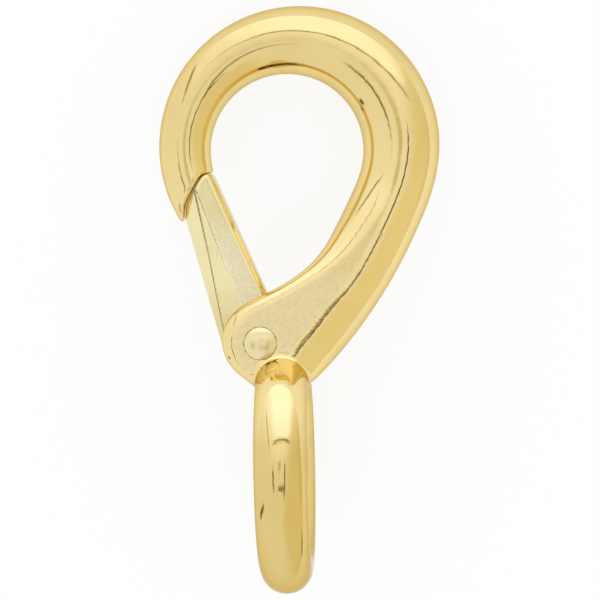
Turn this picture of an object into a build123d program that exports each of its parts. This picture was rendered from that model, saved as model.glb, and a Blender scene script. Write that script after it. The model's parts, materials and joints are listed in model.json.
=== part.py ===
"""Boat snap: a cast hook with a fixed eye, a spring gate, its rivet and the spring.

The hook and its eye are one casting. The hook's bar grows from a slim nose, round the
bow, into two flat cheeks. The gate swings inward between the cheeks on a rivet. A
torsion spring round the rivet holds the gate against the notch in the nose.

Each piece is drawn on the bench: the origin is the eye's centre, the hook lies in the
XY plane with its bow towards +Y, and the eye stands at right angles to it, in the YZ
plane. At the end all of them are laid down together, as the snap comes to rest.
Lengths are in millimetres and angles in degrees.
"""
import math
import os

from build123d import *

# ---------------------------------------------------------------- driving dimensions
# Eye, cast in one with the hook
eye_hole = 19.05            # diameter of the rope hole
eye_bar = 7.05              # diameter of the eye's bar

# Bow: two arcs round nearly the same centre
bow_outer_radius = 18.99
bow_inner_radius = 10.33
bow_height = 43.82          # eye centre to bow centre
bow_offset = 2.76           # bow centre to the right of the eye
bow_inner_shift = (-1.66, -0.47)
nose_end_angle = 211.6      # where the nose stops, round the bow centre

# Arm: from the bow down to the eye
arm_outer_start = 20.6      # below level, where the arm leaves the bow's outer arc
arm_outer_radius = 69.4
arm_outer_turn = 21.2
heel_radius = 41.7
heel_turn = 6.5
arm_inner_start = 23.1
arm_inner_radius = 80.0
arm_inner_turn = 4.9
arm_thickness = 10.4        # of the round bar at the top of the arm
crotch_radius = 14.5
arm_fan = 1.6               # over 1, the sections fan out round the crotch

# Cheeks
cheek_thickness = 12.0      # across both cheeks
cheek_edge_round = 1.75
flat_from = 0.45            # share of the arm over which the round bar turns flat
cheek_lean = 63.1           # from the Y axis, the edge that crosses the gate
cheek_boss_radius = 5.45
cheek_boss_shift = (0.21, 0.26)  # boss centre from the rivet axis
boss_wrap = 113.0
toe_length = 3.2            # straight edge from the boss to the eye
toe_round = 4.2             # rounding of the outer edge where it meets the eye
toe_from = 0.7              # share of the arm where the outer edge starts to tighten

# Gate
pivot_offset = -2.69        # rivet axis from the eye centre, across
pivot_height = 17.39        # and along
gate_thickness = 6.2
gate_tip_radius = 23.8      # rivet axis to the end of the tip
gate_outer_offset = 5.25    # rivet axis to the gate's outer edge
gate_outer_lean = 15.1      # from the Y axis
gate_outer_length = 18.95   # from beside the rivet to the nose's lip
gate_inner_offset = 3.33
gate_inner_lean = 23.3
gate_hub_radius = 4.2
gate_heel_round = 3.0
gate_edge_round = 1.15      # along the outer edge
gate_bevel = 0.8            # along the inner edge
gate_travel = 40.0          # inward
tip_shoulder = 18.6         # from the Y axis, where the tip's end meets its slant
tip_lip = 1.9               # height of the upright part of the slant
tip_lip_lean = -4.5
tip_shoulder_round = 1.0
tip_lip_round = 3.0
facet_angle = 4.0           # tilt of the shallow facet outside the gate's ridge
ridge_lean = 21.1           # of the ridge, from the Y axis
ridge_drop = 3.2            # from the gate's shoulder to where the ridge starts
edge_facet_angle = 18.0     # steeper facet along the outer edge, from the shallow one
edge_facet_width = 1.8      # at the nose's lip; it narrows towards the rivet
edge_facet_lean = 10.6      # of its crease, from the Y axis
slot_mouth = 250.0          # from +X, where the slot opens below the gate's heel
slot_short = 2.5            # the slot's cut stops this far short of the nose

# Rivet
rivet_diameter = 3.0
rivet_head_diameter = 4.3
rivet_head_height = 0.6
rivet_head_rim = 0.15

# Torsion spring
wire_diameter = 0.7
spring_turns = 3            # whole turns; the part turn follows from the legs
spring_pitch = 0.75
spring_mean_radius = 2.1
spring_leg = 4.6
spring_leg_splay = 16.0     # body leg, away from the slot floor's direction
channel_height = 5.6        # how far the spring's channel runs up the gate
channel_low = -28.0         # its lower side, from level

# Clearances
slot_gap = 0.12             # gate to cheek, each side
floor_gap = 0.5             # open gate to slot floor
hub_gap = 0.25              # gate hub to slot floor
tip_gap = 0.22              # gate tip to nose notch
running_gap = 0.05          # rivet to gate bore, on the radius
rivet_gap = 0.02            # rivet to cheek bore, on the radius
seat_gap = 0.01             # rivet head to cheek
coil_gap = 0.15             # spring to its pocket
land = 0.06                 # left between two rounded corners of a section

# ---------------------------------------------------------------- derived places
eye_radius = (eye_hole + eye_bar) / 2
cheek_half = cheek_thickness / 2
gate_half = gate_thickness / 2
slot_half = gate_half + slot_gap
rivet_radius = rivet_diameter / 2
wire_radius = wire_diameter / 2
pocket_radius = spring_mean_radius + wire_radius + coil_gap
gate_leg_lean = (gate_outer_lean + gate_inner_lean) / 2
body_leg_lean = gate_inner_lean - gate_travel - spring_leg_splay
spring_wrap = (body_leg_lean - gate_leg_lean - 180) % 360 + 360 * spring_turns
coil_rise = spring_pitch * spring_wrap / 360
leg_rise = spring_pitch * spring_leg / (2 * math.pi * spring_mean_radius)
pocket_half = coil_rise / 2 + leg_rise + wire_radius + coil_gap
far = 2 * bow_outer_radius  # clear of the whole snap, for cutting shapes

bow = Vector(bow_offset, bow_height)
bow_inner = bow + Vector(*bow_inner_shift)
pivot = Vector(pivot_offset, pivot_height)
boss = pivot + Vector(*cheek_boss_shift)


def heading(degrees):
    """A unit vector on the bench, counted from +X towards +Y."""
    turn = math.radians(degrees)
    return Vector(math.cos(turn), math.sin(turn))


def meet(start_a, along_a, start_b, along_b):
    """Where two lines cross, each given by a point and a direction."""
    between = start_b - start_a
    reach = between.cross(along_b).Z / along_a.cross(along_b).Z
    return start_a + along_a * reach


def ease(t):
    """From 0 to 1, level at both ends."""
    t = min(max(t, 0), 1)
    return t * t * (3 - 2 * t)


# ---------------------------------------------------------------- gate outline
up_outer = heading(90 + gate_outer_lean)
up_inner = heading(90 + gate_inner_lean)
left_of_outer = heading(180 + gate_outer_lean)
right_of_inner = heading(gate_inner_lean)
outer_foot = pivot + left_of_outer * gate_outer_offset
inner_foot = pivot + right_of_inner * gate_inner_offset
lip_point = outer_foot + up_outer * gate_outer_length
shoulder = pivot + heading(90 + tip_shoulder) * gate_tip_radius
slot_top = lip_point.Y - slot_short


def blade_outline():
    """The gate's blade from the front: it tapers from the rivet to a slanted tip."""
    inner_top = inner_foot + up_inner * math.sqrt(gate_tip_radius**2 - gate_inner_offset**2)
    lip_top = lip_point + heading(90 + tip_lip_lean) * tip_lip
    blade = make_face(
        Polyline(pivot, inner_foot, inner_top, shoulder, lip_top, lip_point, outer_foot, close=True)
    )
    for corner, radius in ((shoulder, tip_shoulder_round), (lip_top, tip_lip_round)):
        blade = fillet(blade.vertices().sort_by_distance(corner)[0], radius)
    return blade


def hub_outline():
    """The gate's round end, wider where it meets the outer edge."""
    hub = Pos(pivot) * Circle(gate_hub_radius)
    heel = Pos(pivot + left_of_outer * (gate_outer_offset - gate_heel_round)) * Circle(gate_heel_round)
    return make_hull(hub.edges() + heel.edges())


# ---------------------------------------------------------------- hook and eye
def arm_outer_edge():
    """The arm's outer edge, from the bow down to the eye."""
    start = bow + heading(-arm_outer_start) * bow_outer_radius
    arm = JernArc(start, heading(-90 - arm_outer_start), arm_outer_radius, -arm_outer_turn)
    heel = JernArc(arm @ 1, arm % 1, heel_radius, -heel_turn)
    return Wire([arm, heel])


def arm_inner_edge():
    """The inner edge: down the arm, round the crotch, over the gate and round the boss."""
    start = bow_inner + heading(-arm_inner_start) * bow_inner_radius
    arm = JernArc(start, heading(-90 - arm_inner_start), arm_inner_radius, -arm_inner_turn)
    arm_lean = arm_inner_start + arm_inner_turn
    down_arm = heading(-90 - arm_lean)
    down_cheek = heading(-90 - cheek_lean)
    boss_start = boss + heading(180 - cheek_lean) * cheek_boss_radius
    corner = meet(arm @ 1, down_arm, boss_start, down_cheek)
    crotch_start = corner - down_arm * crotch_radius * math.tan(math.radians((cheek_lean - arm_lean) / 2))
    straight = Line(arm @ 1, crotch_start)
    crotch = JernArc(crotch_start, down_arm, crotch_radius, arm_lean - cheek_lean)
    over_gate = Line(crotch @ 1, boss_start)
    round_boss = JernArc(boss_start, down_cheek, cheek_boss_radius, boss_wrap)
    toe = Line(round_boss @ 1, (round_boss @ 1) + (round_boss % 1) * toe_length)
    return Wire([arm, straight, crotch, over_gate, round_boss, toe])


def section(inner, outer, half, inner_round, outer_round):
    """One cross-section of the casting, between a point on each edge of its outline.

    A corner is rounded no further than the middle of the section.
    """
    across = outer - inner
    most = min(half, across.length / 2) - land
    place = Plane(origin=(inner + outer) / 2, x_dir=across, z_dir=across.cross(Vector(0, 0, 1)))
    profile = Rectangle(across.length, 2 * half)
    profile = fillet(profile.vertices().sort_by(Axis.X)[:2], min(inner_round, most))
    profile = fillet(profile.vertices().sort_by(Axis.X)[-2:], min(outer_round, most))
    return (place * profile).face()


def bow_span(t):
    """The ends of a line across the bow's bar, from the nose at 0 to the arm at 1."""
    inner = heading(nose_end_angle * (1 - t) - arm_inner_start * t) * bow_inner_radius
    outer = heading(nose_end_angle * (1 - t) - arm_outer_start * t) * bow_outer_radius
    return bow_inner + inner, bow + outer


def bow_sections(steps=12):
    """Round sections, from the nose over the bow to the top of the arm."""
    found = []
    for step in range(steps + 1):
        inner, outer = bow_span(step / steps)
        half = (outer - inner).length / 2
        found.append(section(inner, outer, half, half, half))
    return found


def arm_outer_point(t, outer_edge):
    """The arm's outer edge, half thickness and flatness at t, from the bow at 0 to the eye at 1."""
    flat = ease(t / flat_from)
    half = arm_thickness / 2 * (1 - flat) + cheek_half * flat
    return outer_edge @ (1 - (1 - t) ** arm_fan), half, flat


def arm_sections(steps=11):
    """Sections that flatten from the round bar into the cheeks, down to the eye."""
    inner_edge, outer_edge = arm_inner_edge(), arm_outer_edge()
    found = []
    for step in range(1, steps + 1):
        t = step / steps
        inner = inner_edge @ t
        outer, half, flat = arm_outer_point(t, outer_edge)
        inner_round = half * (1 - flat) + cheek_edge_round * flat
        toe = ease((t - toe_from) / (1 - toe_from))
        outer_round = half * (1 - toe) + toe_round * toe
        found.append(section(inner, outer, half, inner_round, outer_round))
    return found


def gate_slot():
    """The space between the cheeks where the gate swings, down to its floor."""
    open_lean = gate_inner_lean - gate_travel
    foot = pivot + heading(open_lean) * (gate_inner_offset + floor_gap)
    floor_end = meet(foot, heading(90 + open_lean), Vector(0, slot_top), Vector(1, 0))
    mouth = pivot + heading(slot_mouth) * far
    outline = Polyline(pivot, foot, floor_end, floor_end - Vector(far, 0), mouth, close=True)
    hub = Pos(pivot) * Circle(gate_hub_radius + hub_gap)
    return extrude(make_face(outline) + hub, slot_half, both=True)


def nose_notch():
    """The space in the nose that the gate's tip closes into, and swings out of."""
    tip = offset(blade_outline(), tip_gap)
    swing = Pos(pivot) * Circle(gate_tip_radius + tip_gap)
    swing &= make_face(Polyline(pivot, shoulder + (shoulder - pivot), pivot + Vector(0, far), close=True))
    above_slot = Pos(pivot.X, slot_top + far / 2) * Rectangle(2 * far, far)
    return extrude((tip + swing) & above_slot, cheek_half, both=True)


def make_hook_body():
    """The casting: bar, cheeks and eye, with the slot, the notch and the rivet's bore."""
    bar = loft(bow_sections() + arm_sections())
    eye = Plane.YZ * Torus(eye_radius, eye_bar / 2)
    bore = Pos(pivot) * Cylinder(rivet_radius + rivet_gap, 2 * cheek_thickness)
    return bar + eye - gate_slot() - nose_notch() - bore


# ---------------------------------------------------------------- gate
def long_edges(solid, along):
    """The straight edges of the gate that run its length in one direction."""
    lines = solid.edges().filter_by(GeomType.LINE)
    return [e for e in lines if e.length > gate_tip_radius / 2 and (e % 0).cross(along).length < 1e-3]


def facet_cuts():
    """What two facets take off one face: a shallow one outside the ridge, a steeper one at the edge."""
    along = heading(90 + ridge_lean)
    top = shoulder - along * ridge_drop + Vector(0, 0, gate_half)
    tilt = math.radians(facet_angle)
    normal = heading(180 + ridge_lean) * math.sin(tilt) + Vector(0, 0, math.cos(tilt))
    shallow = Plane(origin=top, x_dir=along, z_dir=normal)
    crease = shallow.to_local_coords(lip_point + heading(gate_outer_lean) * edge_facet_width)
    steep = Pos(crease.X, crease.Y) * Rot(0, 0, edge_facet_lean - ridge_lean) * Rot(-edge_facet_angle)
    waste = Pos(0, 0, far / 2) * Box(2 * far, far, far)
    return shallow * (waste + steep * waste)


def spring_channel():
    """The gate's hollow: a round pocket for the coil, open to where the legs run."""
    wall = pivot + heading(180 + gate_leg_lean) * pocket_radius
    wall_top = wall + heading(90 + gate_leg_lean) * channel_height
    open_top = wall_top + heading(gate_leg_lean) * far
    outline = Polyline(pivot, wall, wall_top, open_top, pivot + heading(channel_low) * far, close=True)
    pocket = Pos(pivot) * Circle(pocket_radius)
    return extrude(make_face(outline) + pocket, pocket_half, both=True)


def make_gate():
    blade = extrude(blade_outline(), gate_half, both=True)
    blade = fillet(long_edges(blade, up_outer), gate_edge_round)
    blade = chamfer(long_edges(blade, up_inner), gate_bevel)
    hub = extrude(hub_outline(), gate_half, both=True)
    bore = Pos(pivot) * Cylinder(rivet_radius + running_gap, gate_thickness)
    facets = facet_cuts()
    return blade - facets - mirror(facets, Plane.XY) + hub - spring_channel() - bore


# ---------------------------------------------------------------- rivet
def make_rivet():
    """A domed pin through both cheeks, its tail peened to a second head."""
    head_radius = rivet_head_diameter / 2
    dome_rise = rivet_head_height - rivet_head_rim
    dome_radius = (head_radius**2 + dome_rise**2) / (2 * dome_rise)
    seat = cheek_half + seat_gap
    crown = seat + rivet_head_height
    head = Pos(0, 0, (seat + crown) / 2) * Cylinder(head_radius, rivet_head_height)
    head &= Pos(0, 0, crown - dome_radius) * Sphere(dome_radius)
    shank = Cylinder(rivet_radius, 2 * seat)
    return Pos(pivot) * (shank + head + mirror(head, Plane.XY))


# ---------------------------------------------------------------- spring
def make_spring():
    """A coil round the rivet, with a leg up the gate's channel and one on the slot's floor."""
    coil = Helix(spring_pitch, coil_rise, spring_mean_radius)
    coil = (Pos(0, 0, -coil_rise / 2) * Rot(0, 0, 180 + gate_leg_lean) * coil).edge()
    first = Line((coil @ 0) - (coil % 0) * spring_leg, coil @ 0)
    last = Line(coil @ 1, (coil @ 1) + (coil % 1) * spring_leg)
    path = Wire([first, coil, last])
    wire = Plane(origin=path @ 0, z_dir=path % 0) * Circle(wire_radius)
    return Pos(pivot) * sweep(wire, path, is_frenet=True)


# ---------------------------------------------------------------- lying at rest
def support_balls(steps=120):
    """Balls that fill the hook's bar, each as (centre, radius): what the hook lies on."""
    balls = []
    for step in range(steps + 1):
        inner, outer = bow_span(step / steps)
        balls.append(((inner + outer) / 2, (outer - inner).length / 2))
    outer_edge, inner_edge = arm_outer_edge(), arm_inner_edge()
    for step in range(1, steps // 2):
        t = step / steps
        outer, half, _ = arm_outer_point(t, outer_edge)
        balls.append((outer + (inner_edge @ t - outer).normalized() * half, half))
    return balls


def resting_up(balls, weight_point):
    """The bench direction that points up once the snap has rocked to where its weight is lowest."""

    def weight_height(lean):
        up = Vector(lean.X, lean.Y, math.sqrt(1 - lean.dot(lean)))
        eye_floor = -eye_radius * math.hypot(up.Y, up.Z) - eye_bar / 2
        hook_floor = min(up.dot(centre) - radius for centre, radius in balls)
        return up.dot(weight_point) - min(eye_floor, hook_floor)

    lean, step = Vector(), 0.1
    while step > 1e-6:
        lowest = min((lean + heading(turn) * step for turn in range(0, 360, 5)), key=weight_height)
        if weight_height(lowest) < weight_height(lean):
            lean = lowest
        else:
            step /= 2
    return Vector(lean.X, lean.Y, math.sqrt(1 - lean.dot(lean)))


# ---------------------------------------------------------------- the snap
pieces = {
    "hook_body": make_hook_body(),
    "gate": make_gate(),
    "rivet": make_rivet(),
    "gate_spring": make_spring(),
}
volume = sum(piece.volume for piece in pieces.values())
weight_point = sum((p.center(CenterOf.MASS) * p.volume for p in pieces.values()), Vector()) / volume
up = resting_up(support_balls(), weight_point)
tilt = math.degrees(math.acos(up.Z))
laid = Location((0, 0, 0), tuple(up.cross(Vector(0, 0, 1))), tilt)
box = Compound([laid * piece for piece in pieces.values()]).bounding_box()
rest = Pos(-box.center().X, -box.center().Y, -box.min.Z) * laid

os.makedirs("parts", exist_ok=True)
for name, piece in pieces.items():
    export_step(rest * piece, f"parts/{name}.step")

hinge = rest * Pos(pivot)
print("overall", box.size, "laid at", round(tilt, 2), "degrees")
print("hinge at", hinge.position, "turning inward about", Plane(hinge).z_dir * -1)
print("eye centre at", rest.position)
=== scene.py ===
# %% [markdown]
# # A boat snap in polished cast brass
#
# A boat snap joins a rope to a ring. The rope is tied in the round eye, the ring hangs
# in the bow, and a small sprung gate closes the bow's mouth behind it.
#
# The exact solids come in as a frame, in metres, lying as the snap comes to rest on a
# table. Everything that follows is a skin, a finish or a light set round those solids.
# Their boxes and the hinge are read from the frame. The few other measures that a
# finish needs are given in millimetres, where they are used.

import json
import math

import bmesh
import bpy
from mathutils import Matrix, Vector
from mathutils.bvhtree import BVHTree
from mathutils.geometry import intersect_point_line


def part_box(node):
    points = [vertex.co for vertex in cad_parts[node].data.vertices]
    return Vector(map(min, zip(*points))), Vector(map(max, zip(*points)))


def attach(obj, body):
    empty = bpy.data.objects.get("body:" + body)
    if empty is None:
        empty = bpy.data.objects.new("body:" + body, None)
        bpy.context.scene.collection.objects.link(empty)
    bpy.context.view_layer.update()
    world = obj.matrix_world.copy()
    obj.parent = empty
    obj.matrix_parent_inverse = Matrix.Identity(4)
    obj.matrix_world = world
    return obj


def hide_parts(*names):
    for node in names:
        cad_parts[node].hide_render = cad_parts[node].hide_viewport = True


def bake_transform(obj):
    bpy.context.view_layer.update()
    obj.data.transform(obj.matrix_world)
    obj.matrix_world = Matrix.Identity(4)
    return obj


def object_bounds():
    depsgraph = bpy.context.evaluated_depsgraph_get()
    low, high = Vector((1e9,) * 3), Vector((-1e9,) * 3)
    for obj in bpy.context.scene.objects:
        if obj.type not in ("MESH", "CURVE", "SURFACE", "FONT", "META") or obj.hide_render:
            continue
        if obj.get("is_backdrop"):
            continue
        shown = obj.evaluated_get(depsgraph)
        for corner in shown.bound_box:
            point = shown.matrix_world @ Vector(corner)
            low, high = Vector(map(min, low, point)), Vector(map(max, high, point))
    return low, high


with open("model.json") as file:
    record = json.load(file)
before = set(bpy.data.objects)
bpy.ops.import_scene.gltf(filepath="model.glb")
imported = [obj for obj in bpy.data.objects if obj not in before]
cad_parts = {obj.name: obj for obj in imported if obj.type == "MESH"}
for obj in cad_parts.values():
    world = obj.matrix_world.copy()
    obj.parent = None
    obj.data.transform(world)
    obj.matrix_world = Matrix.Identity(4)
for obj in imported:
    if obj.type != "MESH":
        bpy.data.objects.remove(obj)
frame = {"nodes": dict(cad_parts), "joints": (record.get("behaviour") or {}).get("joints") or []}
cad_low, cad_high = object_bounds()
MM = 0.001
scene = bpy.context.scene
for name in frame["nodes"]:
    low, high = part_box(name)
    size = [round((b - a) / MM, 1) for a, b in zip(low, high)]
    print("node", name, size, "mm")

# %% [markdown]
# ## The maker's bench
#
# The snap lies a little tilted, because its eye stands across the hook. Details are far
# easier to place on a bench where the hook lies flat and the middle of the eye is zero:
# x to the right, y up to the bow, z out of the hook's face. The hinge gives that bench.
# Its axis points through the hook, so its opposite is the bench's z.

# %% From the bench to the table
hinge = frame["joints"][0]
face_normal = -Vector(hinge["axis"])
pivot = Vector((-2.69, 17.39, 0))       # the rivet, in millimetres on the bench
cheek_half = 6.0                        # from the middle plane to a cheek's face
turn = Vector((0, 0, 1)).rotation_difference(face_normal).to_matrix().to_4x4()
laid = Matrix.Translation(Vector(hinge["pos_m"])) @ turn @ Matrix.Translation(-pivot * MM)


def at(x, y, z=0.0):
    """A place on the bench, in millimetres, as a point of the frame."""
    return laid @ (Vector((x, y, z)) * MM)


print("hook tilts", round(math.degrees(face_normal.angle(Vector((0, 0, 1)))), 2), "degrees")

# %% [markdown]
# ## The camera
#
# A small bright object is best shown with a long lens from a little way off: the lines
# stay nearly parallel, and both the front of the hook and the side of the eye keep their
# true shape. The camera looks straight down on the hook, turned under three degrees to
# its right, so a thin part of the right-hand walls shows.

# %% Set the camera
yaw = 0.045                             # radians, to the hook's right
roll = 0.021                            # radians, about the line of sight
distance = 0.3112                       # metres, from the aim to the lens
film_width, focal_length = 36, 138      # millimetres
aim = at(2.45, 23.06)
facing = laid.to_3x3()
back = facing @ Vector((math.sin(yaw), 0, math.cos(yaw)))
up = facing @ Vector((math.sin(roll), math.cos(roll), 0))
right = up.cross(back).normalized()
up = back.cross(right)

lens = bpy.data.cameras.new("camera")
lens.sensor_width = film_width
lens.lens = focal_length
lens.clip_start = 0.01
camera = bpy.data.objects.new("camera", lens)
camera.matrix_world = Matrix.Translation(aim + back * distance) @ Matrix(
    (right, up, back)
).transposed().to_4x4()
scene.collection.objects.link(camera)
scene.camera = camera
print("camera", [round(c, 4) for c in camera.matrix_world.translation])

# %% [markdown]
# ## A few helpers for node trees
#
# Every finish below is built from nodes. These helpers keep that short. One makes a
# node and sets its plain values, one joins a socket to the next, and the others wrap
# the nodes that come back again and again: sums, soft steps and blends.

# %% Node helpers
def put(tree, kind, settings=None, **values):
    """A new node. Settings are the node's own options, values its unlinked inputs."""
    node = tree.nodes.new("ShaderNode" + kind)
    for option, value in (settings or {}).items():
        setattr(node, option, value)
    for socket, value in values.items():
        node.inputs[socket.replace("_", " ")].default_value = value
    return node


def join(tree, source, target):
    """A link from one socket to another, or a plain value set on the second."""
    if isinstance(source, bpy.types.NodeSocket):
        tree.links.new(source, target)
    else:
        target.default_value = source


def reckon(tree, operation, first, second=None):
    """A Math node on one or two sockets or numbers. It returns the result's socket."""
    node = put(tree, "Math", {"operation": operation})
    join(tree, first, node.inputs[0])
    if second is not None:
        join(tree, second, node.inputs[1])
    return node.outputs[0]


def times(tree, first, second):
    """The product of two sockets or numbers."""
    return reckon(tree, "MULTIPLY", first, second)


def plus(tree, first, second):
    """The sum of two sockets or numbers."""
    return reckon(tree, "ADD", first, second)


def measure(tree, operation, source, vector):
    """One value from a Vector Math node, between a socket and a fixed vector."""
    node = put(tree, "VectorMath", {"operation": operation})
    join(tree, source, node.inputs[0])
    join(tree, vector, node.inputs[1])
    return node.outputs["Value"]


def fade(tree, value, low, high, to_low=0.0, to_high=1.0):
    """A smooth step of a value between two limits. It returns the result's socket."""
    node = put(tree, "MapRange", {"interpolation_type": "SMOOTHSTEP"})
    limits = {"From Min": low, "From Max": high, "To Min": to_low, "To Max": to_high}
    join(tree, value, node.inputs["Value"])
    for socket, number in limits.items():
        join(tree, number, node.inputs[socket])
    return node.outputs["Result"]


def blend_colours(tree, share, first, second, way="MIX"):
    """A colour between two, by a share. Each may be a colour or a socket."""
    node = put(tree, "Mix", {"data_type": "RGBA", "blend_type": way})
    factor, colour_a, colour_b = node.inputs[0], node.inputs[6], node.inputs[7]
    join(tree, share, factor)
    join(tree, first, colour_a)
    join(tree, second, colour_b)
    return node.outputs[2]


print("node helpers ready")

# %% [markdown]
# A node group holds an effect that several metals share. One helper opens a group with
# named inputs and outputs, one places it in a material. Two more do the same for a
# material and for a pair of shaders, and the last turns a height into a bump.

# %% Group and material helpers
def open_group(name, inputs, outputs):
    """A node group with named value sockets. It returns the tree and its two ends."""
    tree = bpy.data.node_groups.new(name, "ShaderNodeTree")
    for socket, kind, start in inputs:
        made = tree.interface.new_socket(socket, in_out="INPUT", socket_type="NodeSocket" + kind)
        if start is not None:
            made.default_value = start
    for socket, kind in outputs:
        tree.interface.new_socket(socket, in_out="OUTPUT", socket_type="NodeSocket" + kind)
    return tree, tree.nodes.new("NodeGroupInput"), tree.nodes.new("NodeGroupOutput")


def use_group(tree, group, coordinates, **values):
    """A group placed in a material, fed with coordinates and its own values."""
    node = tree.nodes.new("ShaderNodeGroup")
    node.node_tree = group
    if coordinates is not None:
        join(tree, coordinates, node.inputs["Place"])
    for socket, value in values.items():
        join(tree, value, node.inputs[socket.replace("_", " ")])
    return node


def open_material(name):
    """A new material. It returns the material, its node tree and its main shader."""
    material = bpy.data.materials.new(name)
    material.use_nodes = True
    tree = material.node_tree
    return material, tree, tree.nodes["Principled BSDF"]


def blend_shaders(tree, share, first, second):
    """Two shaders, mixed by a share, in the place of a material's main shader."""
    tree.nodes.remove(tree.nodes["Principled BSDF"])
    node = put(tree, "MixShader")
    join(tree, share, node.inputs["Fac"])
    join(tree, first.outputs[0], node.inputs[1])
    join(tree, second.outputs[0], node.inputs[2])
    join(tree, node.outputs[0], tree.nodes["Material Output"].inputs["Surface"])


def add_bump(tree, height, shader):
    """A height, in millimetres, that tilts a shader's normal."""
    bump = put(tree, "Bump", Strength=1.0, Distance=MM)
    join(tree, height, bump.inputs["Height"])
    join(tree, bump.outputs["Normal"], shader.inputs["Normal"])


print("group and material helpers ready")

# %% [markdown]
# ## Two helpers for meshes
#
# A bmesh is a shape still in the maker's hands. Once it is done, it becomes a mesh, and
# an object carries that mesh into the scene. The object stays at the origin, unturned
# and unscaled, because the shape already has its place. The exact solids come as loose
# triangles, so a copy of one has its doubled corners merged before any work on it.

# %% Mesh helpers
same_point = 0.002 * MM                 # two corners closer than this are one


def show(name, shape):
    """Turns a finished bmesh into an object of the scene, and frees it."""
    mesh = bpy.data.meshes.new(name)
    shape.to_mesh(mesh)
    shape.free()
    piece = bpy.data.objects.new(name, mesh)
    scene.collection.objects.link(piece)
    return piece


def copy_solid(node):
    """A merged copy of an exact solid, as a bmesh."""
    shape = bmesh.new()
    shape.from_mesh(frame["nodes"][node].data)
    bmesh.ops.remove_doubles(shape, verts=shape.verts, dist=same_point)
    return shape


def count_open(shape):
    """How many edges of a bmesh don't have a face on both sides."""
    return sum(1 for edge in shape.edges if not edge.is_manifold)


print("mesh helpers ready")

# %% [markdown]
# ## The studio sky
#
# Polished metal has hardly any look of its own: it shows the room. The room here is a
# white tent, a little brighter overhead towards the bow and warmer on the right. A world
# shader can hold such a slow change, and it lights the object evenly, at a level where a
# colour comes out about as it is written. Only reflections see the change: the camera
# and the floor get plain white.

# %% Make the sky
plain_white = (0.95, 0.95, 0.95, 1)
overhead_white = (1.1, 1.1, 1.14, 1)
warm_white = (0.84, 0.77, 0.56, 1)
overhead = (back * 0.35 + up * 0.94).normalized()
low_right = (back * 0.12 - up * 0.3 + right * 0.95).normalized()

sky = bpy.data.worlds.new("white_tent")
sky.use_nodes = True
scene.world = sky
tree = sky.node_tree
background = tree.nodes["Background"]
direction = put(tree, "TexCoord").outputs["Generated"]
above = fade(tree, measure(tree, "DOT_PRODUCT", direction, overhead), 0.35, 0.75)
aside = fade(tree, measure(tree, "DOT_PRODUCT", direction, low_right), 0.25, 0.85)
tent = blend_colours(tree, above, plain_white, overhead_white)
tent = blend_colours(tree, aside, tent, warm_white)
path = put(tree, "LightPath")
tent = blend_colours(tree, path.outputs["Is Glossy Ray"], (1, 1, 1, 1), tent)
join(tree, tent, background.inputs["Color"])
background.inputs["Strength"].default_value = 1.0
print("sky:", len(tree.nodes), "nodes")

# %% [markdown]
# ## The floor
#
# The snap lies on a round white board. Most of the board's light is its own and the
# rest is what falls on it, so the snap keeps a faint soft shadow while the open board
# stays white, to the camera and in the metal's reflections alike. The board is only
# as wide as the view needs, so the tent's lower cloths still show in the metal.

# %% Lay the floor
board_radius = 0.1                      # metres
board_gap = 0.02                        # millimetres, so the board touches no metal
own_light = 0.84                        # the share of its light that the board gives off

board = bmesh.new()
bmesh.ops.create_circle(board, cap_ends=True, segments=96, radius=board_radius)
bmesh.ops.translate(board, verts=board.verts, vec=(0, 0, cad_low[2] - board_gap * MM))
floor = show("floor", board)
floor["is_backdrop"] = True

paper, tree, _ = open_material("white_board")
matt = put(tree, "BsdfDiffuse", Color=(1, 1, 1, 1))
glow = put(tree, "Emission", Color=(1, 1, 1, 1), Strength=1.0)
blend_shaders(tree, own_light, matt, glow)
floor.data.materials.append(paper)
print("floor at", round(cad_low[2] / MM, 3), "mm")

# %% [markdown]
# ## Cards round the tent
#
# A tent of pure white makes metal look like plastic. What draws a curved polished bar
# is what breaks the white: a bright soft box overhead, warm cloths on the right, and
# the seams between cloths, each of which shows as one thin dark line that follows the
# shape. Each is a card that glows in its own colour and fades out at its edges. Only
# reflections see the cards: they cast no shade and don't show to the camera.

# %% Helper: hang a card
grid_rim = 0.5                          # a card is made one unit wide, then stretched
grid_inside = 0.4                       # inner corners lie nearer the middle than this


def card_cloth(name, shade):
    """A cloth that glows in one colour and fades out where its body ends."""
    cloth, tree, _ = open_material(name)
    clear = put(tree, "BsdfTransparent", Color=(1, 1, 1, 1))
    light = put(tree, "Emission", Color=(*shade, 1), Strength=1.0)
    body = put(tree, "Attribute", {"attribute_name": "body"}).outputs["Fac"]
    blend_shaders(tree, fade(tree, body, 0.0, 1.0), clear, light)
    return cloth


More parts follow.
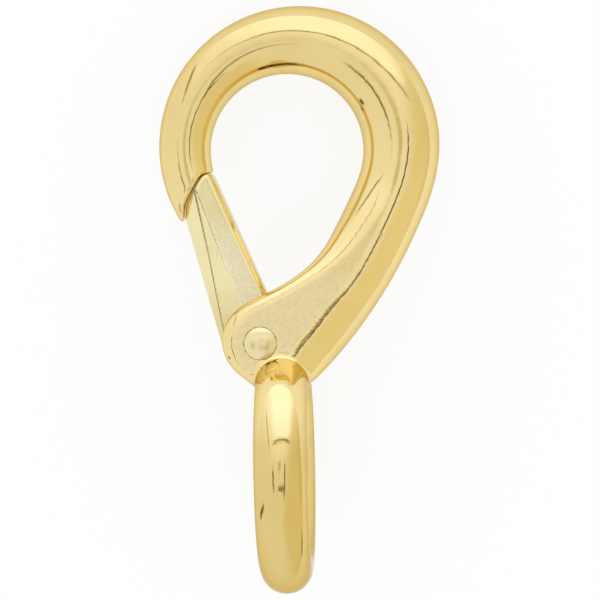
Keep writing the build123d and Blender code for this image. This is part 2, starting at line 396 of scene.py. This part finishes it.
def hang_card(name, side, rise, wide, high, shade, soft, lean=0.0, far=0.5):
    """A card that faces the snap, at a distance in metres.

    Angles are in degrees: to the right, up, its own width and height, and its lean.
    Soft gives the shares of its width and height over which each edge fades out.
    """
    a, b = math.radians(side), math.radians(rise)
    level_way = right * math.sin(a) + back * math.cos(a)
    away = level_way * math.cos(b) + up * math.sin(b)
    across = up.cross(away).normalized()
    upward = away.cross(across)
    spans = [2 * far * math.tan(math.radians(angle / 2)) for angle in (wide, high)]
    card = bmesh.new()
    body = card.verts.layers.float.new("body")
    bmesh.ops.create_grid(card, x_segments=3, y_segments=3, size=grid_rim)
    for corner in card.verts:
        if max(abs(corner.co.x), abs(corner.co.y)) < grid_inside:
            corner[body] = 1.0
        for axis, share in enumerate(soft):
            if abs(corner.co[axis]) < grid_inside:
                corner.co[axis] = math.copysign(grid_rim - share, corner.co[axis])
    lean_turn = Matrix.Rotation(math.radians(lean), 3, "Z")
    axes = Matrix((across, upward, away)).transposed().to_4x4()
    bmesh.ops.scale(card, verts=card.verts, vec=(*spans, 1))
    bmesh.ops.rotate(card, verts=card.verts, matrix=lean_turn)
    bmesh.ops.transform(card, verts=card.verts, matrix=Matrix.Translation(aim + away * far) @ axes)
    hung = show(name, card)
    hung.data.materials.append(card_cloth(name, shade))
    for ray in ("camera", "diffuse", "transmission", "volume_scatter", "shadow"):
        setattr(hung, "visible_" + ray, False)
    hung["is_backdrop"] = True
    return hung


print("cards are made", 2 * grid_rim, "wide and stretched to their angle")

# %% [markdown]
# The soft box and the warm cloths are wide, and the seams between cloths are narrow and
# dark. Nearest stand the opening that the lens looks in through, dimmer than the white
# round it, and the tripod, with its arm below the lens and a leg to the left.

# %% Hang the cards
seam_soft = (0.3, 0.35)
cards = [
    hang_card("soft_box", 12, 75, 94, 96, (1.28, 1.35, 1.58), (0.3, 0.16)),
    hang_card("warm_cloth", 76, -34, 96, 84, (0.86, 0.79, 0.57), (0.05, 0.3), far=0.6),
    hang_card("warm_wall", 102, 4, 52, 56, (0.79, 0.7, 0.46), (0.35, 0.3), far=0.58),
    hang_card("cloth_edge", 17, -7, 6, 42, (0.09, 0.06, 0.02), (0.35, 0.25), lean=-8),
    hang_card("seam_above", 6, 30, 84, 5, (0.26, 0.2, 0.09), (0.25, 0.45)),
    hang_card("seam_left", -62, 29, 52, 4.5, (0.36, 0.28, 0.13), (0.3, 0.4), lean=-36),
    hang_card("seam_low_left", -94, -24, 34, 5.5, (0.12, 0.08, 0.03), seam_soft),
    hang_card("seam_low_right", 124, -38, 46, 7, (0.11, 0.075, 0.03), seam_soft, lean=-28),
    hang_card("tripod_arm", 3, -14, 34, 7, (0.3, 0.24, 0.11), (0.3, 0.4), far=0.49),
    hang_card("tripod_leg", -29, -7, 9, 26, (0.26, 0.2, 0.09), (0.4, 0.3), lean=8, far=0.49),
    hang_card("lens_opening", -3, 5, 20, 18, (0.68, 0.62, 0.44), (0.45, 0.45), far=0.48),
]
print("cards:", [card.name for card in cards])

# %% [markdown]
# ## Effects that the metals share
#
# Cast brass is ground and then buffed. The wheel leaves a faint ripple, like the peel
# of an orange, so reflected lines wander a little. Each metal gets the same ripple at
# its own strength, so it is a node group: noise at two sizes, added as a height.

# %% Group: buffed ripple
ripple, start, end = open_group(
    "buffed_ripple",
    [("Place", "Vector", None), ("Size", "Float", 2.5), ("Fine", "Float", 0.15)],
    [("Height", "Float")],
)
per_metre = reckon(ripple, "DIVIDE", 1 / MM, start.outputs["Size"])
broad = put(ripple, "TexNoise", Detail=1.0, Roughness=0.4)
join(ripple, start.outputs["Place"], broad.inputs["Vector"])
join(ripple, per_metre, broad.inputs["Scale"])
fine = put(ripple, "TexNoise", Detail=2.0, Roughness=0.5)
join(ripple, start.outputs["Place"], fine.inputs["Vector"])
join(ripple, times(ripple, per_metre, 5.0), fine.inputs["Scale"])
small = times(ripple, fine.outputs["Fac"], start.outputs["Fine"])
join(ripple, plus(ripple, broad.outputs["Fac"], small), end.inputs["Height"])
print("buffed_ripple:", len(ripple.nodes), "nodes")

# %% [markdown]
# Where the wheel can't press, the skin of the casting stays: tiny pebbles that turn a
# mirror into satin. That is how the flat cheeks look next to the buffed round bar.
# Cells with noise over them make the pebbles. The plain cell distance is enough here:
# the smooth kind looks hardly different at this size and renders several times slower.

# %% Group: cast pebbles
pebbles, start, end = open_group(
    "cast_pebbles",
    [("Place", "Vector", None), ("Size", "Float", 0.5)],
    [("Height", "Float"), ("Grain", "Float")],
)
per_metre = reckon(pebbles, "DIVIDE", 1 / MM, start.outputs["Size"])
cells = put(pebbles, "TexVoronoi", {"feature": "F1"})
join(pebbles, start.outputs["Place"], cells.inputs["Vector"])
join(pebbles, per_metre, cells.inputs["Scale"])
grit = put(pebbles, "TexNoise", Detail=3.0, Roughness=0.6)
join(pebbles, start.outputs["Place"], grit.inputs["Vector"])
join(pebbles, times(pebbles, per_metre, 0.9), grit.inputs["Scale"])
gritty = times(pebbles, grit.outputs["Fac"], 1.6)
join(pebbles, plus(pebbles, cells.outputs["Distance"], gritty), end.inputs["Height"])
join(pebbles, fade(pebbles, grit.outputs["Fac"], 0.4, 0.65), end.inputs["Grain"])
print("cast_pebbles:", len(pebbles.nodes), "nodes")

# %% [markdown]
# Handling rubs a part unevenly: some places stay bright, some gather a dull film, and
# fine hairline scratches cross them. The group gives a rub mask for the roughness and
# a scratch height for the bump, the second from noise drawn out long in one direction.

# %% Group: handling
handling, start, end = open_group(
    "handling",
    [("Place", "Vector", None), ("Film Size", "Float", 9.0)],
    [("Rub", "Float"), ("Scratch", "Float")],
)
scratch_stretch = (2600, 160, 900)      # per metre: scratches run long along the second
scratch_turn = (0.3, 0.5, 0.7)          # radians, so they cross the snap at a slant
per_metre = reckon(handling, "DIVIDE", 1 / MM, start.outputs["Film Size"])
film = put(handling, "TexNoise", Detail=3.0, Roughness=0.55)
join(handling, start.outputs["Place"], film.inputs["Vector"])
join(handling, per_metre, film.inputs["Scale"])
join(handling, fade(handling, film.outputs["Fac"], 0.4, 0.66), end.inputs["Rub"])
long_way = put(handling, "Mapping", Scale=scratch_stretch, Rotation=scratch_turn)
join(handling, start.outputs["Place"], long_way.inputs["Vector"])
lines = put(handling, "TexNoise", Scale=1.0, Detail=1.0)
join(handling, long_way.outputs["Vector"], lines.inputs["Vector"])
join(handling, fade(handling, lines.outputs["Fac"], 0.64, 0.7), end.inputs["Scratch"])
print("handling:", len(handling.nodes), "nodes")

# %% [markdown]
# Polish reaches edges first and hollows last. Pointiness tells them apart on a dense
# mesh: above a half on an edge, below it in a hollow. Hollows keep a brown tarnish.

# %% Group: edges and hollows
worn, start, end = open_group(
    "edges_and_hollows",
    [("Edge From", "Float", 0.545), ("Hollow From", "Float", 0.47)],
    [("Edge", "Float"), ("Hollow", "Float")],
)
full_after = 0.06                       # past its start, where either mask is full
form = put(worn, "NewGeometry")
above = reckon(worn, "SUBTRACT", form.outputs["Pointiness"], start.outputs["Edge From"])
below = reckon(worn, "SUBTRACT", start.outputs["Hollow From"], form.outputs["Pointiness"])
join(worn, fade(worn, above, 0.0, full_after), end.inputs["Edge"])
join(worn, fade(worn, below, 0.0, full_after), end.inputs["Hollow"])
print("edges_and_hollows:", len(worn.nodes), "nodes")

# %% [markdown]
# Between the gate and the nose, and under the rivet's rim, the gaps lie in shade, and that
# shade is painted in, dark brown. Each casting carries an attribute, crack, that
# rises to one where another piece lies close. The group ravels its edge with noise.

# %% Group: painted shade in cracks
cracks, start, end = open_group(
    "painted_crack_shade", [("Place", "Vector", None), ("Amount", "Float", 0.9)], [("Crack Shade", "Float")]
)
# painted shade: the crack attribute, ravelled, sets how dark a gap is painted
close_by = put(cracks, "Attribute", {"attribute_name": "crack"})
ravel = put(cracks, "TexNoise", Scale=2200.0, Detail=2.0)
join(cracks, start.outputs["Place"], ravel.inputs["Vector"])
uneven = times(cracks, reckon(cracks, "SUBTRACT", ravel.outputs["Fac"], 0.5), 0.35)
packed = fade(cracks, plus(cracks, close_by.outputs["Fac"], uneven), 0.25, 0.75)
join(cracks, times(cracks, packed, start.outputs["Amount"]), end.inputs["Crack Shade"])
print("painted_crack_shade:", len(cracks.nodes), "nodes")

# %% [markdown]
# ## The cast brass
#
# First the places. The ground flats lie round the rivet. They are found by the surface's
# own normal, which there runs along the hook's face normal, and by the distance from the
# cheeks' middle, because a round bar has a thin line of such normals along its crest too.
#
# Shade is painted into the eye, the bow's top and the gate's root, as a darker, yellower colour.
# How far a point lies from the eye, along the hook, finds these zones. Each has a place where it
# starts, one where it is full, and a strength there.

# %% Find the flats and the painted shade zones
flats_middle = at(0.5, 20.5)
flats_end, flats_full = 19, 13          # millimetres from their middle
square_from, square_full = 0.996, 0.9999
beside_flats = 0.3                      # the grain that is left on the rounding beside them
bow_way = facing @ Vector((0, 1, 0))    # along the hook, from the eye to the bow
# painted shade zones: darker and yellower near the eye, the bow's top and the gate's root
eye_shade_zone = (9, 3, 0.85)                 # millimetres from the eye's middle, and strength
bow_shade_zone = (37, 54, 0.52)
root_shade_zone = (28, 18.5, 0.9)


def find_flats(tree, place):
    """Two masks: the flats themselves, and where the casting's grain shows."""
    facing_out = measure(tree, "DOT_PRODUCT", place.outputs["Normal"], face_normal)
    square = fade(tree, reckon(tree, "ABSOLUTE", facing_out), square_from, square_full)
    away = measure(tree, "DISTANCE", place.outputs["Object"], flats_middle)
    by_rivet = fade(tree, away, flats_end * MM, flats_full * MM)
    flat = times(tree, square, by_rivet)
    return flat, reckon(tree, "MAXIMUM", flat, times(tree, by_rivet, beside_flats))


def find_painted_shade(tree, place, zones):
    """A mask of the zones where shade is painted in, darker and yellower."""
    along = measure(tree, "DOT_PRODUCT", place.outputs["Object"], bow_way)
    from_eye = reckon(tree, "SUBTRACT", along, bow_way.dot(at(0, 0)))
    painted_shade = 0.0
    for none_at, full_at, strength in zones:
        zone = times(tree, fade(tree, from_eye, none_at * MM, full_at * MM), strength)
        painted_shade = reckon(tree, "MAXIMUM", zone, painted_shade)
    return painted_shade


print("flats round", [round(c / MM, 1) for c in flats_middle], "mm")

# %% [markdown]
# The colour is laid on in steps. It starts plain, turns
# paler on ground flats and polished edges, darker in hollows, under film and on grain,
# then gets painted shade, darker and yellower, towards the eye, the bow's top and the
# gate's root, and ends with painted shade in the cracks.

# %% The colour of the brass
# colours of painted shade: the first darkens and yellows the shade zones, the second fills the
# cracks
shade_yellow = (0.86, 0.82, 0.66, 1)
crack_shade_brown = (0.19, 0.125, 0.05, 1)
edge_gain = 1.06                        # how much brighter a polished edge is
hollow_share, edge_share, film_share = 0.25, 0.6, 0.1


def tint_brass(tree, masks, colour, pale, deep, mottle):
    """The colour of the brass, from its plain colours and the masks of its places."""
    polished = tuple(min(1.0, c * edge_gain) for c in colour[:3]) + (1,)
    grain = times(tree, times(tree, masks["grain"], masks["flat"]), mottle)
    tint = blend_colours(tree, masks["flat"], colour, pale)
    tint = blend_colours(tree, times(tree, masks["hollow"], hollow_share), tint, deep)
    tint = blend_colours(tree, times(tree, masks["edge"], edge_share), tint, polished)
    tint = blend_colours(tree, times(tree, masks["film"], film_share), tint, deep)
    tint = blend_colours(tree, grain, tint, deep)
    # painted shade towards the eye, the bow's top and the gate's root
    tint = blend_colours(tree, masks["painted_shade"], tint, shade_yellow, "MULTIPLY")
    # painted shade in the cracks between parts
    return blend_colours(tree, masks["crack_shade"], tint, crack_shade_brown)


print("a polished edge is", edge_gain, "times as bright")

# %% [markdown]
# One function then makes the brass of the hook, the gate and the rivet, because they are
# one alloy, buffed by one wheel. What differs is set by name: how pale it is, how sharp
# its mirror is, and how dull and how grainy the flats are. Film, tarnish and the painted
# crack shade each take some of the mirror away, and the ripple, the grain and the scratches bend
# it.

# %% Material: cast brass
grazing_tint = (0.74, 0.63, 0.42, 1)    # what the mirror turns to at a grazing angle
# the cracks that carry painted shade are also dulled
film_dull, hollow_dull, crack_dull = 0.05, 0.3, 0.5
scratch_depth = 0.0012                  # millimetres


def cast_brass(
    name, colour, pale, deep, mirror, satin, ripple_depth, pebble_depth,
    mottle=0.16, zones=(eye_shade_zone, bow_shade_zone),
):
    """Buffed brass: a mirror on round parts, satin on flats, tarnish in hollows, painted shade in
    zones and cracks.

    Mirror is the roughness of the buffed bar and satin what the flats add to it. Depths
    are in millimetres. Mottle is how dark the grain's pits are.
    """
    metal, tree, shader = open_material(name)
    shader.inputs["Metallic"].default_value = 1.0
    shader.inputs["Specular Tint"].default_value = grazing_tint
    place = put(tree, "TexCoord")
    point = place.outputs["Object"]
    rippled = use_group(tree, ripple, point)
    pebbled = use_group(tree, pebbles, point)
    handled = use_group(tree, handling, point)
    form = use_group(tree, worn, None)
    flat, grainy = find_flats(tree, place)
    masks = {
        "flat": flat,
        "painted_shade": find_painted_shade(tree, place, zones),
        "grain": pebbled.outputs["Grain"],
        "film": handled.outputs["Rub"],
        "edge": form.outputs["Edge"],
        "hollow": form.outputs["Hollow"],
        "crack_shade": use_group(tree, cracks, point).outputs["Crack Shade"],
    }
    tint = tint_brass(tree, masks, colour, pale, deep, mottle)
    join(tree, tint, shader.inputs["Base Color"])

    rough = plus(tree, times(tree, masks["film"], film_dull), mirror)
    rough = plus(tree, rough, times(tree, flat, satin))
    rough = plus(tree, rough, times(tree, masks["hollow"], hollow_dull))
    rough = plus(tree, rough, times(tree, masks["crack_shade"], crack_dull))
    join(tree, rough, shader.inputs["Roughness"])

    grain = times(tree, pebbled.outputs["Height"], pebble_depth)
    height = times(tree, rippled.outputs["Height"], ripple_depth)
    height = plus(tree, height, times(tree, grain, grainy))
    height = plus(tree, height, times(tree, handled.outputs["Scratch"], -scratch_depth))
    add_bump(tree, height, shader)
    print(name, "has", len(tree.nodes), "nodes")
    return metal


print("brass recipe ready")

# %% [markdown]
# The hook is the plain one of the three, its cheeks ground to a satin. The gate is ground
# finer and then buffed, so it is paler and its mirror is clearer. The rivet's head was
# hammered, which leaves it duller than either.

# %% The three brasses
hook_brass = cast_brass(
    "hook_brass",
    colour=(0.9, 0.73, 0.35, 1), pale=(0.88, 0.76, 0.44, 1), deep=(0.6, 0.42, 0.12, 1),
    mirror=0.07, satin=0.17, ripple_depth=0.012, pebble_depth=0.012,
)
gate_brass = cast_brass(
    "gate_brass",
    colour=(0.92, 0.82, 0.48, 1), pale=(0.97, 0.9, 0.66, 1), deep=(0.6, 0.44, 0.16, 1),
    mirror=0.06, satin=0.06, ripple_depth=0.008, pebble_depth=0.004,
    mottle=0.08, zones=(root_shade_zone,),
)
rivet_brass = cast_brass(
    "rivet_brass",
    colour=(0.88, 0.76, 0.42, 1), pale=(0.88, 0.78, 0.48, 1), deep=(0.5, 0.34, 0.11, 1),
    mirror=0.2, satin=0.06, ripple_depth=0.01, pebble_depth=0.004,
)

# %% [markdown]
# ## Spring wire
#
# The spring is hard-drawn steel. Drawing leaves the wire bright, with fine lines along
# it and a thin oily film that darkens it in patches.

# %% Material: drawn steel wire
bright_steel, oily_steel = (0.62, 0.61, 0.6, 1), (0.42, 0.41, 0.39, 1)
drawn_depth = 0.004                     # millimetres

wire, tree, shader = open_material("drawn_steel_wire")
shader.inputs["Metallic"].default_value = 1.0
place = put(tree, "TexCoord")
handled = use_group(tree, handling, place.outputs["Object"], Film_Size=2.0)
drawn = use_group(tree, ripple, place.outputs["Object"], Size=0.4, Fine=0.5)
steel = blend_colours(tree, handled.outputs["Rub"], bright_steel, oily_steel)
join(tree, steel, shader.inputs["Base Color"])
join(tree, fade(tree, handled.outputs["Rub"], 0, 1, 0.22, 0.38), shader.inputs["Roughness"])
add_bump(tree, times(tree, drawn.outputs["Height"], drawn_depth), shader)
print("drawn_steel_wire has", len(tree.nodes), "nodes")

# %% [markdown]
# ## Skins for the castings
#
# A casting has no sharp edges and no sharp inner corners. The metal shrinks as it cools,
# and the buffing wheel takes off what is left. Where the round eye meets the hook the
# wax was simply rubbed smooth. Rounding each edge by hand would be endless on such a
# shape, so the exact solid is wrapped in small voxels and the wrap is relaxed a little:
# outer edges soften, and inner corners fill in, all by the same amount.

# %% Helper: wrap a casting
on_plane = 1e-7                         # metres, within which a cut takes a point as met


def slice_off(shape, point, normal):
    """Cuts away what lies beyond a plane, and closes the cut with one face."""
    everything = shape.verts[:] + shape.edges[:] + shape.faces[:]
    sliced = bmesh.ops.bisect_plane(
        shape, geom=everything, dist=on_plane, plane_co=point, plane_no=normal, clear_outer=True
    )
    rim = [item for item in sliced["geom_cut"] if isinstance(item, bmesh.types.BMEdge)]
    bmesh.ops.contextual_create(shape, geom=rim)


def wrap_casting(name, node, voxel, passes, cuts=()):
    """A relaxed voxel skin of an exact solid, as a finished object of the scene.

    Voxel is its fineness in millimetres. Each cut is a point and a normal: what lies
    beyond that plane is sliced off first.
    """
    shape = copy_solid(node)
    for point, normal in cuts:
        slice_off(shape, point, normal)
    piece = show(name, shape)
    wrap = piece.modifiers.new("wrap", "REMESH")
    wrap.mode = "VOXEL"
    wrap.voxel_size = voxel * MM
    relax = piece.modifiers.new("relax", "SMOOTH")
    relax.factor = 0.5
    relax.iterations = passes
    ready = piece.evaluated_get(bpy.context.evaluated_depsgraph_get())
    skin = bpy.data.meshes.new_from_object(ready)
    piece.modifiers.clear()
    piece.data = skin
    skin.name = name
    skin.shade_smooth()
    skin.materials.clear()
    triangles = sum(len(face.vertices) - 2 for face in skin.polygons)
    print(name, "has", triangles, "triangles")
    return piece


print("skin helpers ready")

# %% [markdown]
# The hook, its cheeks and its eye are one casting, so they get one skin. At 0.3 mm the
# voxels still hold the slot between the cheeks, and eight passes round the edges as
# much as a buffing wheel does.

# %% The hook and its eye, one casting
hook = wrap_casting("cast_hook_and_eye", "hook_body", 0.3, 8)
hook.data.materials.append(hook_brass)
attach(hook, "hook")
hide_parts("hook_body")

# %% [markdown]
# The gate is a smaller casting with finer edges, so its wrap is finer too. Down its outer
# edge the mould has a broad slanted land, wide at the tip and narrow at the rivet, and
# beside it the face itself is folded, hardly enough to feel but plain to see in a mirror.
# Both are sliced off before the wrap. A ray finds where each fold meets the face, and a
# slice starts there and leans away from it towards the outer edge. One more slice files
# the root's faces, so it turns freely past the rounded corners of the slot.

# %% The gate
folds = [                               # the tip's end, the rivet's end, the slope in degrees
    ((-9.27, 33.1), (-6.74, 26.08), 4.5),
    ((-10.35, 33.07), (-8.15, 22.15), 30.0),
]
root_half = 2.99                        # the filed root's face, from the middle plane
clear_above = 20                        # millimetres, where the rays start

plain_gate = bmesh.new()
plain_gate.from_mesh(frame["nodes"]["gate"].data)
gate_faces = BVHTree.FromBMesh(plain_gate)
plain_gate.free()
gate_cuts = []
crease_lines = []
for side in (1, -1):
    inward = -face_normal * side
    for tip_end, rivet_end, slope in folds:
        first, level = gate_faces.ray_cast(at(*tip_end, clear_above * side), inward)[:2]
        last = gate_faces.ray_cast(at(*rivet_end, clear_above * side), inward)[0]
        outer_side = (last - first).normalized().cross(level) * side
        lean = math.radians(slope)
        gate_cuts.append((first, level * math.cos(lean) + outer_side * math.sin(lean)))
        crease_lines.append((first, last))
    gate_cuts.append((at(pivot.x, pivot.y, root_half * side), face_normal * side))
gate = wrap_casting("gate_leaf", "gate", 0.14, 6, gate_cuts)
gate.data.materials.append(gate_brass)
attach(gate, "gate")
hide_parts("gate")

# %% [markdown]
# ## The rivet
#
# The rivet is a brass pin. Its ends are hammered into low domes that can't pass back
# through the cheeks. A dome is a cap cut from a large ball: its height and its width
# give the ball's radius, and how far its edge turns down.

# %% Measure the rivet
pin_radius = 1.5                        # all in millimetres
head_radius = 2.15
head_rim = 0.12
head_height = 0.6
head_foot = cheek_half + 0.01           # a hair clear of the cheek
dome_height = head_height - head_rim
dome_radius = (head_radius**2 + dome_height**2) / (2 * dome_height)
dome_turn = math.asin(head_radius / dome_radius)
dome_middle = (0, 0, head_foot + head_height - dome_radius)
print("dome radius", round(dome_radius, 2), "mm, turned", round(math.degrees(dome_turn)), "degrees")

# %% [markdown]
# One short profile gives a head: its last corner is spun over into the dome, and the
# profile is spun round the pin. The other head is its mirror. The seams are merged and
# the normals set before the rims are found, because a mirror turns its faces about.

# %% Make the rivet
seam_gap = 0.001                        # millimetres
rim_bevel = 0.05                        # millimetres
sharp_angle = 0.6                       # radians, past which an edge of the head is a rim

pin = bmesh.new()
profile = [
    (pin_radius, 0, 0), (pin_radius, 0, head_foot),
    (head_radius, 0, head_foot), (head_radius, 0, head_foot + head_rim),
]
corners = [pin.verts.new(corner) for corner in profile]
for first, second in zip(corners, corners[1:]):
    pin.edges.new((first, second))
bmesh.ops.spin(
    pin, geom=[corners[-1]], cent=dome_middle, axis=(0, 1, 0), angle=-dome_turn, steps=8
)
bmesh.ops.spin(
    pin, geom=pin.verts[:] + pin.edges[:], cent=(0, 0, 0), axis=(0, 0, 1), angle=math.tau,
    steps=64, use_merge=True,
)
bmesh.ops.remove_doubles(pin, verts=pin.verts, dist=seam_gap)
half = pin.verts[:] + pin.edges[:] + pin.faces[:]
bmesh.ops.mirror(pin, geom=half, axis="Z", merge_dist=seam_gap)
bmesh.ops.remove_doubles(pin, verts=pin.verts, dist=seam_gap)
bmesh.ops.recalc_face_normals(pin, faces=pin.faces)
rim = [e for e in pin.edges if len(e.link_faces) == 2 and e.calc_face_angle() > sharp_angle]
bmesh.ops.bevel(
    pin, geom=rim, offset=rim_bevel, segments=3, profile=0.5, affect="EDGES", material=-1,
    clamp_overlap=True,
)
bmesh.ops.translate(pin, verts=pin.verts, vec=pivot)
bmesh.ops.scale(pin, verts=pin.verts, vec=(MM, MM, MM))
bmesh.ops.transform(pin, verts=pin.verts, matrix=laid)
open_edges = count_open(pin)
rivet = show("hammered_rivet", pin)
rivet.data.shade_smooth()
rivet.data.materials.append(rivet_brass)
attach(rivet, "hook")
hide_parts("rivet")
print("rivet:", len(rivet.data.polygons), "faces,", open_edges, "open edges")

# %% [markdown]
# ## The spring
#
# A coil spring sits round the rivet inside the gate. One leg lies on the slot's floor,
# the other runs up the gate. When the gate opens, the coil winds up by the same angle,
# shared out along its turns. Here it is a copy of its solid, in drawn steel wire.

coil = copy_solid("gate_spring")
open_edges = count_open(coil)
spring = show("torsion_spring", coil)
spring.data.shade_smooth()
spring.data.materials.append(wire)
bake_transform(spring)
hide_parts("gate_spring")
print("spring:", len(spring.data.polygons), "faces,", open_edges, "open edges")

# %% [markdown]
# ## Where the cracks are
#
# With all pieces made, each casting can be asked how near its neighbours come, and shade is
# painted into the gaps. A search tree of the neighbours' faces answers that quickly for
# every point. Along the gate's creases a dark line is painted too, a painted reflection, darkest
# near the tip.

# %% Mark the cracks
past_end = 1.3                          # a crease goes on fading to this share of its length
core_gain = 2                           # the inner half of a crease's width is fully dark


def mark_cracks(piece, neighbours, creases=()):
    """Writes how close a neighbour or a crease is, from zero at its reach to one at contact.

    A neighbour is a piece and its reach in millimetres. A crease is two points, a half
    width in millimetres and its darkness at each point.
    """
    trees = []
    for neighbour, reach in neighbours:
        shape = bmesh.new()
        shape.from_mesh(neighbour.data)
        trees.append((BVHTree.FromBMesh(shape), reach * MM))
        shape.free()
    marks = piece.data.attributes.new("crack", "FLOAT", "POINT")
    for vertex, mark in zip(piece.data.vertices, marks.data):
        gaps = [(tree.find_nearest(vertex.co, reach)[3], reach) for tree, reach in trees]
        mark.value = max([0.0] + [1 - gap / reach for gap, reach in gaps if gap is not None])
        for first, second, half_width, dark_first, dark_second in creases:
            nearest, way = intersect_point_line(vertex.co, first, second)
            nearness = 1 - (vertex.co - nearest).length / (half_width * MM)
            share = min(max(way, 0.0), past_end)
            dark = max(dark_first + (dark_second - dark_first) * share, 0.0)
            mark.value = max(mark.value, min(nearness * core_gain, 1.0) * dark)
    print(piece.name, sum(mark.value > 0.5 for mark in marks.data), "points in cracks")


# painted reflection: dark lines along the gate's folds, darker at the tip
soft_folds = [(*line, 0.2, 0.52, 0.36) for line in crease_lines[0::2]]
land_creases = [(*line, 0.24, 0.62, 0.5) for line in crease_lines[1::2]]
# painted shade where the gate, the hook and the rivet lie close to each other
mark_cracks(hook, [(gate, 0.32), (rivet, 0.18)])
mark_cracks(gate, [(hook, 0.3)], soft_folds + land_creases)
mark_cracks(rivet, [(hook, 0.12)])

# %% [markdown]
# ## Finish
#
# The view keeps colours as they are lit. Both boxes are printed, because a skin
# must not make the part bigger than its solids.

# %% Print the sizes
scene.view_settings.view_transform = "Standard"
low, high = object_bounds()
for side, a, b, c, d in zip("xyz", cad_low, cad_high, low, high):
    print(side, "solids", round((b - a) / MM, 2), "skin", round((d - c) / MM, 2), "mm")
